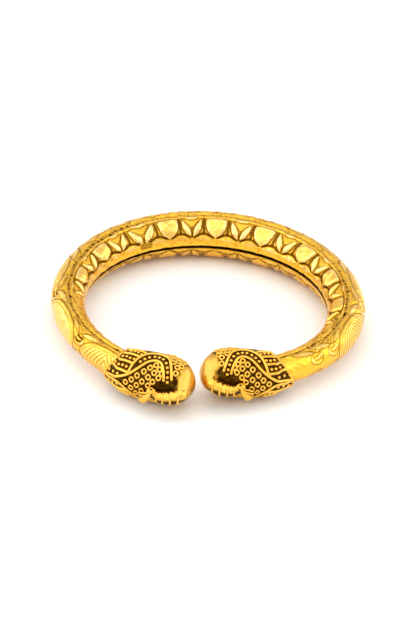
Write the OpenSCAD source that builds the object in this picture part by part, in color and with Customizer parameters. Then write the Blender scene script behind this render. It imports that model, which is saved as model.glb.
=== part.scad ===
// Kada bangle: a hollow chased tube bent to an open hoop, its two ends capped
// by cast bird's-head finials that face each other across a narrow gap.
// The hoop lies flat, its lowest point at z = 0, the gap towards -Y.

/* [Hoop] */
// Width of the round opening for the wrist, inside the tube
wrist_d = 60.2; // [56:0.1:66]
// Thickness of the tube at the back of the hoop, under the chasing
back_d = 11.5; // [9:0.1:13]
// Thickness of the tube where it enters the finials, under the chasing
end_d = 6.7; // [6:0.1:8]
// Angle round the hoop where the tube is thickest
fat_angle = 80; // [70:1:100]
// Sideways spring of the two ends, the left one out and the right one in
end_spring = 3; // [0:0.1:4]
// Thickness of the sheet that the tube is rolled from
sheet_t = 0.8; // [0.6:0.05:1.2]

/* [Open seam] */
// Width of the open seam along the inner side of the tube
seam_gap = 0.7; // [0.4:0.05:1.2]
// Angle round the tube's section where the seam lies at the back
seam_at = 184; // [176:1:192]
// Turn of the seam round the section for each degree along the hoop
seam_turn = 0.095; // [0:0.005:0.15]

/* [Joint with the finials] */
// Angle from the front of the hoop to the joint, along the hoop
joint_angle = 35.3; // [33:0.1:37]
// Slant of the joint, the upper side of the tube being the longer one
joint_slant = 27; // [0:1:32]
// Gap left at each joint
joint_gap = 0.06; // [0.03:0.01:0.2]
// Diameter of the plug that each finial pushes into the tube
plug_d = 4.2; // [3:0.1:4.6]
// Length of the plug
plug_len = 2.5; // [2:0.5:6]

/* [Chased rows on the inner shoulders] */
// Angle along the hoop from one motif to the next
motif_pitch = 11.25; // [10:0.25:12]
// Angle along the hoop of the plain motif at the back
motif_start = 87; // [80:0.5:92]
// Height of the lobes and leaves over the ground
motif_h = 0.35; // [0.2:0.05:0.5]

/* [Cartouches on the outer face] */
// Angle along the hoop from one cartouche to the next
panel_pitch = 31.25; // [28:0.25:34]
// Angle along the hoop of the cartouche nearest the back
panel_start = 77; // [70:0.5:84]
// Length of a cartouche as an angle along the hoop
panel_len = 23; // [18:0.5:26]
// Half height of a cartouche as an angle round the tube's section
panel_rise = 62; // [50:1:70]
// Height of the cartouches over the ground
panel_h = 0.45; // [0.2:0.05:0.6]

/* [Finials] */
// Length of a finial's body along its own axis
body_len = 19; // [17:0.1:21]
// Largest radius of the body
body_r = 5.6; // [5:0.05:6.2]
// Radius of the body where it starts
mouth_r = 4; // [3.9:0.05:4.4]
// Distance along the axis to the largest radius
belly_at = 9; // [8:0.1:10]
// Angle of the mean body axis to the line across the gap
body_turn = 7.5; // [5:0.5:12]
// Angle by which the sprung ends turn each body away from the mean
body_tilt = 4; // [0:0.5:6]
// Angle from the front of the hoop to the start of the body's axis
body_angle = 32.4; // [30:0.1:34]
// Distance of the body's axis outside the middle of the tube
body_out = 1.95; // [1:0.05:2.2]
// Height of the finial's lip over the tube at the joint
lip_h = 0.6; // [0.3:0.05:0.8]
// Drop of the dome's tip away from the axis
dome_drop = 0.9; // [0:0.1:1.5]
// Thickness of the raised wires
wire_d = 0.75; // [0.5:0.002:1]
// Size of the scales on the breast
scale_d = 1.23; // [1:0.01:1.5]

/* [Neck and head] */
// Radius of the bird's neck between its ribs
neck_r = 1.35; // [1.1:0.05:1.6]
// Height of the ribs over the neck
rib_h = 0.3; // [0.1:0.05:0.5]
// Distance of the neck's middle from the body's axis
neck_out = 6.6; // [6:0.1:7.2]
// Angle of the neck round the body, from the outward side
neck_angle = -5; // [-15:1:5]
// Number of ribs round the neck
neck_ribs = 4; // [3:1:5]

/* [Hidden] */
gold = "goldenrod";
dark_gold = "darkgoldenrod";

// Facets of the tube, along the hoop and round its outer and inner surface
tube_steps = 40;
section_steps = 16;
bore_steps = 8;
// Depth to which raised work is rooted in the sheet
root = 0.35;

// Place of the hoop's centre when the whole stands over the origin: its wires
// rest on z = 0, and the sprung ends put its middle beside the hoop's centre
hoop_at = [-0.12, 0.1, body_r + wire_d / 2];

// Radius of the tube, and of its middle line, at an angle along the hoop
function tube_r(a) =
    (end_d + (back_d - end_d) * pow(cos(0.6 * (a - fat_angle)), 2)) / 2;
function turned(a) = (a - 90) / 180;
function spring(a) = end_spring * turned(a) * turned(a) * turned(a);
function middle_r(a) = wrist_d / 2 + tube_r(a) + spring(a);
function middle(a) = [middle_r(a) * cos(a), middle_r(a) * sin(a), 0];

// A point on the tube: a along the hoop, v round the section from the outer
// side over the top, h above the sheet's ground
function on_tube(a, v, h = 0) =
    let (r = tube_r(a) + h, ring = middle_r(a) + r * cos(v))
    [ring * cos(a), ring * sin(a), r * sin(v)];

// The seam's angle round the section
function seam(a) = seam_at + seam_turn * (a - 90);

// Sides of the gap: side 1 is the right one, side -1 the left one
function from_front(side, angle) = side > 0 ? angle - 90 : 270 - angle;
function joint_at(side) = from_front(side, joint_angle);

// Direction along the hoop towards the gap, direction outwards, and the
// direction square to the slanted joint
function along(a, side) = side * [sin(a), -cos(a), 0];
function outward(a) = [cos(a), sin(a), 0];
function joint_dir(side) =
    cos(joint_slant) * along(joint_at(side), side) - [0, 0, sin(joint_slant)];

// Angle along the hoop at which section angle v lies at the given distance
// from the joint's plane, found by n steps from the angle a
function end_angle(side, v, h, distance, a, n = 4) =
    n == 0 ? a :
    let (
        p = on_tube(a, v, h),
        d = joint_dir(side),
        miss = (middle(joint_at(side)) - p) * d + distance,
        turn = miss / (along(a, side) * d) / norm([p.x, p.y]) * 180 / PI
    )
    end_angle(side, v, h, distance, a - side * turn, n - 1);

function lerp(p, q, t) = p + (q - p) * t;
function sum(list, i = 0) = i >= len(list) ? 0 * list[0] : list[i] + sum(list, i + 1);
function mean(list) = sum(list) / len(list);

// A skin over rows of points that all have the same length: the rows are
// closed rings, and the first and the last ring are capped
module skin(rows) {
    n = len(rows[0]);
    m = len(rows);
    sides = [for (i = [0 : m - 2], j = [0 : n - 1], half = [0, 1])
        let (k = (j + 1) % n)
        half == 0 ? [i * n + j, i * n + k, (i + 1) * n + k]
                  : [i * n + j, (i + 1) * n + k, (i + 1) * n + j]];
    caps = [
        [for (j = [n - 1 : -1 : 0]) j],
        [for (j = [0 : n - 1]) (m - 1) * n + j]
    ];
    polyhedron(points = [for (r = rows) each r], faces = concat(sides, caps));
}

// A raised figure on the tube: its outline in angles, its lift over the
// ground and the share of the outline that stays at the top
module raised(outline, lift, share = 0.72) {
    m = mean(outline);
    pts = concat(
        [for (p = outline) on_tube(p[0], p[1], -root)],
        [for (p = outline) let (q = lerp(m, p, share)) on_tube(q[0], q[1], lift)]);
    hull() polyhedron(points = pts, faces = [[for (i = [0 : len(pts) - 1]) i]]);
}

// Half of the seam as an angle round the section
function half_seam(a, h) = seam_gap / 2 / (tube_r(a) + h) * 180 / PI;

// Angle round the section of point j of n, counted from the seam
function sheet_angle(a, h, j, n) =
    seam(a) + half_seam(a, h) + j * (360 - 2 * half_seam(a, h)) / n;

// Point j of n round the tube at share t of the way along it
function sheet_point(t, h, j, n) =
    let (
        right = joint_at(1),
        left = joint_at(-1),
        back = -joint_gap / 2,
        a0 = end_angle(1, sheet_angle(right, h, j, n), h, back, right),
        a1 = end_angle(-1, sheet_angle(left, h, j, n), h, back, left),
        a = lerp(a0, a1, t)
    )
    on_tube(a, sheet_angle(a, h, j, n), h);

// The rolled sheet: an open tube with its seam on the inner side
module rolled_tube() {
    skin([for (i = [0 : tube_steps])
        let (t = i / tube_steps)
        concat(
            [for (j = [0 : section_steps]) sheet_point(t, 0, j, section_steps)],
            [for (j = [bore_steps : -1 : 0]) sheet_point(t, -sheet_t, j, bore_steps)])]);
}

/* The chased work on the tube */

// Motifs along the shoulder: one cell was drawn wide, and the order of plain
// and leafed cells starts again after it
first_cell = -11;
last_cell = 10;
wide_cell = 3;
wide_by = 5.3;
function cell_at(k) =
    motif_start + k * motif_pitch + (k > wide_cell ? wide_by : k == wide_cell ? wide_by / 2 : 0);
function is_leaf(k) = (k > wide_cell ? k : k + 1) % 2 == 0;

// Reach of a cell along the hoop, and its top and point round the section
lobe_reach = 4.3;
cell_top = 101;
cell_point = 151;

// Outlines: share of the reach, share of the way from the top to the point
lobe_outline = [[-1, 0], [-0.95, 0.6], [-0.35, 0.92], [0.35, 0.92], [0.95, 0.6], [1, 0]];
leaf_outline = [[0.1, 0.95], [0.25, 0.5], [0.95, 0], [1.05, 0.4], [0.7, 0.78]];

function placed(outline, a, reach, side, flip = 1) =
    [for (p = outline)
        [a + flip * p[0] * reach, side * lerp(cell_top, cell_point, p[1])]];

module motif_row(side) {
    for (k = [first_cell : last_cell]) {
        grow = k == wide_cell ? 1.5 : 1;
        if (is_leaf(k)) {
            for (flip = [-1, 1])
                raised(placed(leaf_outline, cell_at(k), lobe_reach * grow, side, flip), motif_h, 0.6);
        } else {
            raised(placed(lobe_outline, cell_at(k), lobe_reach, side), motif_h, 0.8);
        }
    }
}

// Cartouches round the outer side, and two drops above and below between them
first_panel = -3;
last_panel = 4;
panel_sides = 10;
function panel_at(k) = panel_start + k * panel_pitch;
drop_places = [[-2.2, 40], [2.2, 58]];
drop_reach = 2;
drop_rise = 9;

// A domed oval made as a closed skin that follows the tube
module cartouche(a) {
    function oval(share, h) =
        [for (i = [0 : panel_sides - 1])
            let (w = -360 * i / panel_sides)
            on_tube(a + share * panel_len / 2 * cos(w), share * panel_rise * sin(w), h)];
    skin([oval(0.1, -root), oval(1, -root), oval(0.9, panel_h * 0.8), oval(0.4, panel_h)]);
}

module drops(a) {
    for (side = [-1, 1], d = drop_places)
        raised([for (i = [0 : 3])
            [a + d[0] + drop_reach * cos(90 * i), side * (d[1] + drop_rise * sin(90 * i))]],
            panel_h * 0.7, 0.6);
}

module band() {
    color(gold)
    translate(hoop_at)
    union() {
        rolled_tube();
        motif_row(1);
        motif_row(-1);
        for (k = [first_panel : last_panel]) cartouche(panel_at(k));
        for (k = [first_panel : last_panel + 1]) drops(panel_at(k) - panel_pitch / 2);
    }
}

/* The cast finials, drawn about their own axis: s runs along the axis towards
the gap, v turns round it from the outward side over the top */

// Facets round the body, the angle of the first of them, and the places of
// the rings along the axis
body_sides = 16;
body_phase = 3.6;
body_rings = [2.89, 5.01, 7.2, 9.2, 11.22, 12.51, 14.22, 15.9, 17.19, 18.01, 18.67];
// The first of them follows the slanted lip
first_ring = [1.8, -0.8];

function body_radius(s) =
    s < belly_at
        ? body_r - (body_r - mouth_r) * pow((belly_at - s) / belly_at, 1.8)
        : body_r * pow(1 - pow((s - belly_at) / (body_len - belly_at), 3.8), 0.58);
function axis_out(s) = s < 12 ? 0 : dome_drop * pow((s - 12) / (body_len - 12), 2);
function about_axis(s, v, r) = [s, axis_out(s) + r * cos(v), r * sin(v)];
function first_s(v) = first_ring[0] + first_ring[1] * cos(v);

// A point of the lip, which lies over the tube's own surface, and a point on
// the body; places behind the lip are moved on to the body's back edge
function lip_point(side, v) =
    let (a = end_angle(side, v, lip_h, joint_gap / 2, joint_at(side)))
    own_point(side, on_tube(a, v, lip_h));
back_edge = 0.93;
function on_body(side, s, v) =
    let (f = first_s(v), p = about_axis(f, v, body_radius(f)))
    s >= f ? about_axis(s, v, body_radius(s)) :
    let (lip = lip_point(side, v)) lerp(p, lip, min(back_edge, (f - s) / (f - lip.x)));
function unit(v) = v / norm(v);
function normal_at(s, v) =
    unit([(body_radius(s - 0.05) - body_radius(s + 0.05)) / 0.1, cos(v), sin(v)]);

// Where a body's axis starts, its own directions, and a vector along them
function body_turned(side) = body_turn - side * body_tilt;
function body_start(side) =
    let (a = from_front(side, body_angle)) (middle_r(a) + body_out) * outward(a);
function measured(side, v) =
    let (t = body_turned(side))
    [v * [-side * cos(t), -sin(t), 0], v * [side * sin(t), -cos(t), 0], v.z];
function own_point(side, p) = measured(side, p - body_start(side));

// The smooth body from its lip to the dome at the gap
module body(side) {
    angles = [for (j = [body_sides - 1 : -1 : 0]) body_phase + 360 * j / body_sides];
    skin(concat(
        [[for (v = angles) lip_point(side, v)]],
        [[for (v = angles) on_body(side, first_s(v), v)]],
        [for (s = body_rings) [for (v = angles) on_body(side, s, v)]]));
}

// The plug that goes into the tube
module plug(side) {
    a = joint_at(side);
    at = own_point(side, middle(a));
    way = measured(side, along(a, side));
    translate(at)
    rotate([0, 90, atan2(way.y, way.x)])
    translate([0, 0, -plug_len])
    cylinder(d = plug_d, h = plug_len + plug_d / 2, $fn = 12);
}

// A round bar through a row of [point, radius], and a wire laid on the body
module bar(rows, sides, up) {
    n = len(rows);
    skin([for (i = [0 : n - 1])
        let (
            t = unit(rows[min(i + 1, n - 1)][0] - rows[max(i - 1, 0)][0]),
            b = unit(cross(t, up)),
            c = cross(b, t)
        )
        [for (j = [0 : sides - 1])
            rows[i][0] + rows[i][1] * (cos(360 * j / sides) * b + sin(360 * j / sides) * c)]]);
}

wire_sides = 4;
module wire(side, path) {
    n = len(path);
    points = [for (p = path) on_body(side, p[0], p[1])];
    skin([for (i = [0 : n - 1])
        let (
            c = normal_at(path[i][0], path[i][1]),
            b = unit(cross(points[min(i + 1, n - 1)] - points[max(i - 1, 0)], c))
        )
        [for (j = [0 : wire_sides - 1])
            let (w = 360 * (j + 0.5) / wire_sides)
            points[i] + wire_d / 2 * sqrt(2) * (cos(w) * b + sin(w) * c)]]);
}

// A lozenge scale with a flat top
module scale_at(side, s, v) {
    c = normal_at(s, v);
    b = unit(cross(c, [0, -sin(v), cos(v)]));
    d = cross(c, b);
    function around(r, h) =
        [for (j = [0 : 3]) on_body(side, s, v) + h * c + r * (cos(90 * j) * b + sin(90 * j) * d)];
    pts = concat(around(scale_d / 2, -root), around(scale_d / 2, scale_h / 2),
                 around(scale_d / 4, scale_h));
    hull() polyhedron(points = pts, faces = [[for (i = [0 : len(pts) - 1]) i]]);
}

// The underside mirrors the top, about one angle on the body and about
// another at the lip
mirror_v = 5.0;
lip_mirror_v = -9;
function mirrored(path) = [for (p = path)
    [p[0], 2 * (p[0] < -5 ? lip_mirror_v : mirror_v) - p[1]]];
module both_wires(side, path) {
    wire(side, path);
    wire(side, mirrored(path));
}

// Figures as [s, v]: the folded wing, the stem that parts over the breast and
// the stripes behind it; an s of -9 stands for the lip
outer_wing = [[3.8, 36], [5.6, 74], [6.8, 90], [8.2, 98], [9.6, 100], [11.2, 95], [12.5, 78],
    [13.4, 58], [14.1, 34]];
inner_wing = [[4, 32], [5.2, 42], [7.8, 69], [9.2, 75], [10.2, 72], [11.2, 60], [12, 40],
    [12.2, 28]];
stem_root = [[-9, -9], [-1, 1], [1, 5]];
stem = [[0.9, 5.5], [2.6, 18], [4, 33]];
stripes = [
    [[-9, 35], [0.5, 38], [3.6, 31]],
    [[-9, 62], [2, 63], [4.3, 56]],
    [[-9, 90], [3.1, 84], [5.2, 78]],
    [[-9, 115], [4.2, 104], [6.3, 97]]];

// Scales of the breast, on a slanted lattice: its first point, its two steps,
// and how many there are in each of its rows
scale_h = 0.3;
breast_from = [3.4, 4.5];
breast_steps = [[1.3, 12], [1.35, -12]];
breast_rows = [5, 4, 1];
// Scales between the wing and the dome
dome_scales = [[13.1, 94], [13.9, 83], [14.6, 71], [15, 57], [15, 92]];

// The neck's ribs along the axis, and rows [s, v, distance, radius] of the
// neck's root, the head and the beak
rib_from = 11.2;
rib_step = 1.55;
neck_root = [[17.6, -5, 3.2, 1.8], [16.9, -5, 5, 1.7], [16.2, -5, 6, 1.5]];
head = [[10.5, -2, 6.6, 1.2], [9.9, 2, 6.8, 1.35], [9.2, 3, 6.9, 1.2], [8.7, 3, 7, 0.7]];
beak = [[9.3, 0, 6.9, 0.8], [8.8, -9, 7.3, 0.8], [8.3, -17, 7.6, 0.55], [8, -22.5, 7.8, 0.15]];
crest = [[[9, -3], [8.2, -9], [7.2, -17]], [[9, 7], [8.2, 3], [7.3, -5]]];

function bar_rows(rows) = [for (r = rows) [about_axis(r[0], r[1], r[2]), r[3]]];

module neck(side) {
    ribs = [for (k = [neck_ribs - 1 : -1 : 0], row = [[0.5, 0], [0.2, rib_h], [-0.2, rib_h], [-0.5, 0]])
        [rib_from + k * rib_step + row[0], neck_angle,
            neck_out - 0.08 * pow(k, 2), neck_r + row[1]]];
    bar(bar_rows(concat(neck_root, ribs, head)), 8, [0, 0.1, 1]);
    bar(bar_rows(beak), 5, [1, 0, 0]);
    for (c = crest) wire(side, c);
}

module finial(side) {
    o = body_start(side);
    color(dark_gold)
    translate(hoop_at + o)
    rotate([0, 0, side > 0 ? 180 + body_turned(side) : -body_turned(side)])
    mirror([0, side > 0 ? 0 : 1, 0])
    union() {
        body(side);
        plug(side);
        wire(side, stem_root);
        for (path = concat([outer_wing, inner_wing, stem], stripes)) both_wires(side, path);
        for (i = [0 : len(breast_rows) - 1], j = [0 : breast_rows[i] - 1]) {
            at = breast_from + j * breast_steps[0] + i * breast_steps[1];
            scale_at(side, at[0], at[1]);
        }
        for (p = concat(dome_scales, mirrored(dome_scales))) scale_at(side, p[0], p[1]);
        neck(side);
    }
}

band();
finial(-1);  // left_finial
finial(1);  // right_finial
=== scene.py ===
# %% [markdown]
# # A kada bangle, chased and cast
# This lesson dresses the packed bangle: a hoop rolled from sheet, chased all over
# and gilt, with a cast cap on each end. The frame is loaded first. It gives the
# real sizes, so everything below is made in place and only its skin is refined.

# %% Load the frame
import bpy, math
import numpy as np
from mathutils import Matrix, Vector


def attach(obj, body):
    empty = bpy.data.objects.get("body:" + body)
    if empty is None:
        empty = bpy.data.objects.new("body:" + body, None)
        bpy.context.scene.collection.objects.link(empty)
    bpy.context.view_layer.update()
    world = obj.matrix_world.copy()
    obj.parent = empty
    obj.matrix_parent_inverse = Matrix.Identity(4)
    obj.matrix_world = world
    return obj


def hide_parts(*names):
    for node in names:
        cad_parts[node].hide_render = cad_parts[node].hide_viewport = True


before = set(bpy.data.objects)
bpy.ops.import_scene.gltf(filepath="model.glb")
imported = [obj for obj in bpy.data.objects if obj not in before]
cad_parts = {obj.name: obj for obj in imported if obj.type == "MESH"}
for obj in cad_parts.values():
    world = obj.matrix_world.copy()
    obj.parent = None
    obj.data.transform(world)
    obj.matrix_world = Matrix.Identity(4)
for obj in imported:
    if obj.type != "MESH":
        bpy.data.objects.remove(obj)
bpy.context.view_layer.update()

# %% [markdown]
# ## The maker's measures
# The chasing is drawn in angles: `a` runs along the hoop (0 right, 90 back,
# 180 left) and `v` round the tube's section (0 outside, 90 top, 180 wrist side).
# The tube is fat at the back and thin at the ends, and its ends have sprung
# apart. These formulas give the solid model's own surface, in millimetres. Only
# the seam lies three degrees lower here, where the photograph shows it.

# %% The tube's surface
HOOP_AT = np.array([-0.12, 0.1, 5.975])  # the hoop's middle in the frame
WRIST, BACK_D, END_D = 60.2, 11.5, 6.7  # the opening, the tube's back and its ends
FAT_AT, TAPER, SPRUNG = 80, 0.6, 3  # where it is fattest, how fast it thins, its spring
SHEET, SEAM_GAP, SEAM_AT, SEAM_TURN = 0.8, 0.7, 187, 0.095
JOINT, SLANT, JOINT_GAP = 35.3, 27, 0.06  # the joint with a cap, from the front
rad = np.radians

def unit(v):
    return v / np.linalg.norm(v, axis=-1, keepdims=True)

def tube_r(a):
    return (END_D + (BACK_D - END_D) * np.cos(rad(TAPER * (a - FAT_AT))) ** 2) / 2

def middle_r(a):
    return WRIST / 2 + tube_r(a) + SPRUNG * ((a - 90) / 180) ** 3

def on_tube(a, v, h):
    r = tube_r(a) + h
    ring = middle_r(a) + r * np.cos(rad(v))
    return np.stack([ring * np.cos(rad(a)), ring * np.sin(rad(a)), r * np.sin(rad(v))], -1)

def seam(a):
    return SEAM_AT + SEAM_TURN * (a - 90)

def from_front(side, angle):
    return angle - 90 if side > 0 else 270 - angle

def along(a, side):
    return side * np.array([math.sin(rad(a)), -math.cos(rad(a)), 0])

def middle(a):
    return middle_r(a) * np.array([math.cos(rad(a)), math.sin(rad(a)), 0])

def end_angle(side, v, h, distance):
    """Angle along the hoop where the tube's surface meets the slanted joint."""
    at = from_front(side, JOINT)
    d = math.cos(rad(SLANT)) * along(at, side) - np.array([0, 0, math.sin(rad(SLANT))])
    a = np.full(np.shape(v), float(at))
    for k in range(5):
        p = on_tube(a, v, h)
        miss = (middle(at) - p) @ d + distance
        a = a - side * np.degrees(miss / (along(at, side) @ d) / np.hypot(p[..., 0], p[..., 1]))
    return a

print("tube %.1f mm thick at the back, %.1f at the joints"
      % (2 * tube_r(90), 2 * tube_r(from_front(1, JOINT))))

# %% [markdown]
# ## The camera
# The photograph looks down on the hoop from in front, from about 40 cm, with a
# slight roll to the right. The camera is placed from those measures: an axis
# for each direction of the picture, then a long lens.

# %% Camera
LOOK_DOWN, ROLL, FAR = rad(31.57), rad(-4.31), 400
LENS, SENSOR, SHIFT_UP = 93.07, 36, -0.0119
look = np.array([0, math.cos(LOOK_DOWN), -math.sin(LOOK_DOWN)])
upright = np.array([0, math.sin(LOOK_DOWN), math.cos(LOOK_DOWN)])
right = np.array([1.0, 0, 0])
across = math.cos(ROLL) * right - math.sin(ROLL) * upright
upward = math.sin(ROLL) * right + math.cos(ROLL) * upright
stand = (HOOP_AT - FAR * look) / 1000

bpy.ops.object.camera_add(location=stand)
camera = bpy.context.object
camera.name = "camera"
turn = Matrix([[across[i], upward[i], -look[i]] for i in range(3)])
camera.matrix_world = Matrix.Translation(stand) @ turn.to_4x4()
camera.data.lens, camera.data.sensor_width = LENS, SENSOR
camera.data.shift_y = SHIFT_UP
camera.data.clip_start = 0.01
bpy.context.scene.camera = camera
print("camera", [round(float(c), 3) for c in camera.location], "lens", camera.data.lens)

# %% [markdown]
# ## Floor and light
# Polished gold shows what is round it, so the light is most of the finish. A
# white floor lies below, a wide soft box hangs overhead, and five weaker ones
# stand low round the bangle: two behind, one at each side and one in front. The
# room is bright and a little warm, so the shadows stay soft and pale.

# %% Floor and lights
bpy.ops.object.select_all(action="DESELECT")
bpy.ops.mesh.primitive_plane_add(size=3, location=(0, 0, 0))
floor = bpy.context.object
floor.name = "floor"

def soft_box(name, place, size, power):
    """A lamp behind a white cloth, turned to the bangle."""
    bpy.ops.object.light_add(type="AREA", location=place)
    box = bpy.context.object
    box.name = name
    box.rotation_euler = (-Vector(place)).to_track_quat("-Z", "Y").to_euler()
    box.data.shape, box.data.size, box.data.size_y = "RECTANGLE", size[0], size[1]
    box.data.energy = power

soft_box("top_light", (-0.15, -0.1, 0.85), (1.6, 1.4), 5.5)
soft_box("back_left_light", (-0.85, 0.47, 0.34), (0.6, 0.4), 1.05)
soft_box("back_right_light", (0.85, 0.5, 0.38), (0.6, 0.5), 1.3)
soft_box("left_light", (-0.7, -0.25, 0.35), (0.6, 0.7), 1.6)
soft_box("right_light", (0.7, -0.1, 0.4), (0.5, 0.6), 1.15)
soft_box("front_light", (-0.1, -0.75, 0.25), (0.4, 0.2), 0.35)

world = bpy.data.worlds.new("room")
bpy.context.scene.world = world
world.use_nodes = True
room = world.node_tree.nodes["Background"].inputs
room["Color"].default_value = (1, 0.99, 0.96, 1)
room["Strength"].default_value = 0.85
bpy.context.scene.view_settings.view_transform = "Standard"
print("six soft boxes and a floor of", floor.dimensions.x, "m")

# %% [markdown]
# ## Shader arithmetic
# A finish is easier to read as a sum than as a web of nodes. One small class
# wraps a node's socket: adding or multiplying it by a number or by another
# socket adds the Math node. Another class holds a material and makes every
# other node from its type, its settings and its inputs.

# %% Shader helpers
class Level:
    """A value that changes over the surface."""

    def __init__(self, finish, socket):
        self.finish, self.socket = finish, socket

    def math(self, operation, *values):
        return self.finish.node("ShaderNodeMath", {"operation": operation}, values)

    def __add__(self, other): return self.math("ADD", self, other)
    def __radd__(self, other): return self.math("ADD", other, self)
    def __sub__(self, other): return self.math("SUBTRACT", self, other)
    def __rsub__(self, other): return self.math("SUBTRACT", other, self)
    def __mul__(self, other): return self.math("MULTIPLY", self, other)
    def __rmul__(self, other): return self.math("MULTIPLY", other, self)

    def clamped(self):
        return self.math("MINIMUM", self.math("MAXIMUM", self, 0.0), 1.0)


class Finish:
    """A material whose nodes are made one call each."""

    def __init__(self, name):
        self.material = bpy.data.materials.new(name)
        self.material.use_nodes = True
        self.tree = self.material.node_tree
        self.shader = self.tree.nodes["Principled BSDF"]

    def node(self, kind, settings=None, inputs=(), out=0):
        made = self.tree.nodes.new(kind)
        for key, value in (settings or {}).items():
            setattr(made, key, value)
        pairs = inputs.items() if isinstance(inputs, dict) else enumerate(inputs)
        for socket, value in pairs:
            self.give(made.inputs[socket], value)
        return Level(self, made.outputs[out])

    def give(self, socket, value):
        if isinstance(value, Level):
            self.tree.links.new(value.socket, socket)
        else:
            socket.default_value = value

    def set(self, values):
        for name, value in values.items():
            self.give(self.shader.inputs[name], value)

    def mixed(self, share, a, b):
        return self.node("ShaderNodeMix", {"data_type": "RGBA"}, {0: share, 6: a, 7: b}, out=2)

    def noise(self, place, scale, detail, rough=0.5):
        inputs = {"Vector": place, "Scale": scale, "Detail": detail, "Roughness": rough}
        return self.node("ShaderNodeTexNoise", None, inputs)

print("shader helpers ready")

# %% [markdown]
# ## Gilt brass
# The gilding is one warm metal in three tones: the chased sheet, the cast bodies,
# which are darker, and the raised wires, which are paler, partly from polish and
# partly as a painted highlight. A fourth finish is oxide alone, for the pupils. In
# a metal the colour sits in the reflection. Slow clouds shift it a little, fine
# grain and polishing marks move the roughness and the bump, and a mesh attribute
# holds both oxide and painted light: below 0 the gold is painted pale, partly as
# wear and partly as a painted highlight, at 0 it is bare, at 1 it is dark brown,
# oxide in the chasing and painted shade along edges, in hollows and under the neck,
# and above 1 it turns black, deep oxide and the painted shade inside the seam.

# %% Gold finishes
CLOUDS, SPECKS, MARKS = 160, 2600, 700  # waves to the metre
MARK_SQUEEZE = (1, 1, 6)  # polishing marks run level round the hoop
# The pale colour serves worn tops and painted highlights; the black serves deep oxide and the
# painted shade inside the seam.
RUB_AND_HIGHLIGHT, BLACK = (1.0, 0.78, 0.4, 1), (0, 0, 0, 1)
BUMP_HEIGHT = 0.00008

def gold(name, bright, warm, oxide_and_shade, polish, grain):
    """A gold that clouds from bright to warm; polish is its roughness."""
    f = Finish(name)
    place = f.node("ShaderNodeTexCoord", out=3)
    patina = f.node("ShaderNodeAttribute", {"attribute_name": "patina"}, out=2)
    cloud = f.noise(place, CLOUDS, 3)
    speck = f.noise(place, SPECKS, 2, 0.6)
    squeezed = f.node("ShaderNodeMapping", None, {"Vector": place, "Scale": MARK_SQUEEZE})
    mark = f.noise(squeezed, MARKS, 2)
    # The dark share is oxide and painted shade, the pale share worn tops and painted highlight.
    stain_and_shade = (patina + (speck - 0.5) * 0.5 * patina).clamped()
    pale = (0.0 - patina).clamped()
    depth = (patina - 1.0).clamped()
    bare = f.mixed(pale, f.mixed((cloud * 1.6 - 0.3).clamped(), bright, warm), RUB_AND_HIGHLIGHT)
    f.set({
        "Base Color": f.mixed(stain_and_shade, bare, f.mixed(depth, oxide_and_shade, BLACK)),
        "Metallic": 1.0,
        "Roughness": polish + (mark - 0.5) * 0.16 + stain_and_shade * 0.3,
    })
    bump = {"Strength": grain, "Distance": BUMP_HEIGHT, "Height": speck * 0.5 + mark}
    f.set({"Normal": f.node("ShaderNodeBump", None, bump)})
    return f.material

chased_gold = gold("chased_gold", (1.0, 0.58, 0.065, 1), (0.98, 0.52, 0.035, 1),
                   (0.13, 0.046, 0.001, 1), 0.27, 0.35)
antique_gold = gold("antique_gold", (0.8, 0.46, 0.06, 1), (0.68, 0.36, 0.028, 1),
                    (0.032, 0.009, 0.0002, 1), 0.32, 0.4)
# Paler gold for the raised wires, grains and rings, the neck and the head: partly polish, partly
# painted highlight.
bright_gold = gold("bright_gold", (0.95, 0.57, 0.1, 1), (0.84, 0.46, 0.05, 1),
                   (0.035, 0.011, 0.0004, 1), 0.26, 0.2)
black_oxide = gold("black_oxide", (0.03, 0.014, 0.001, 1), (0.02, 0.01, 0.001, 1),
                   BLACK, 0.5, 0.2)

paper = Finish("white_floor")
grey = paper.noise(paper.node("ShaderNodeTexCoord", out=3), 9, 2)
paper.set({"Base Color": paper.mixed(grey, (0.9, 0.9, 0.9, 1), (0.93, 0.93, 0.93, 1)),
           "Roughness": 0.8})
floor.data.materials.append(paper.material)
made = (chased_gold, antique_gold, bright_gold, black_oxide, paper.material)
print("finishes", [m.name for m in made])

# %% [markdown]
# ## A chaser's tools
# Chasing raises forms from behind and sets lines and dots from the front. Here
# the sheet is a fine grid of places, and each tool changes how far a place is
# raised and how much oxide it keeps; a raised form also gets a line of painted
# shade round its edge and a top painted pale, partly as wear and partly as a
# painted highlight. A form is drawn as an outline, so the tools need the distance
# to an outline or a line, which plain arithmetic gives.

# %% Distances and curves
def smooth_line(points, closed=False, n=6):
    """A flowing line through a few points, in n steps from one to the next."""
    p = np.array(points, float)
    if closed:
        q = np.concatenate([p[-1:], p, p[:2]])
    else:
        q = np.concatenate([2 * p[:1] - p[1:2], p, 2 * p[-1:] - p[-2:-1]])
    t = np.arange(n)[:, None] / n
    parts = [0.5 * (2 * b + (c - a) * t + (2 * a - 5 * b + 4 * c - d) * t ** 2
                    + (3 * b - a - 3 * c + d) * t ** 3)
             for a, b, c, d in zip(q[:-3], q[1:-2], q[2:-1], q[3:])]
    line = np.concatenate(parts)
    return line if closed else np.concatenate([line, p[-1:]])

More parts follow.
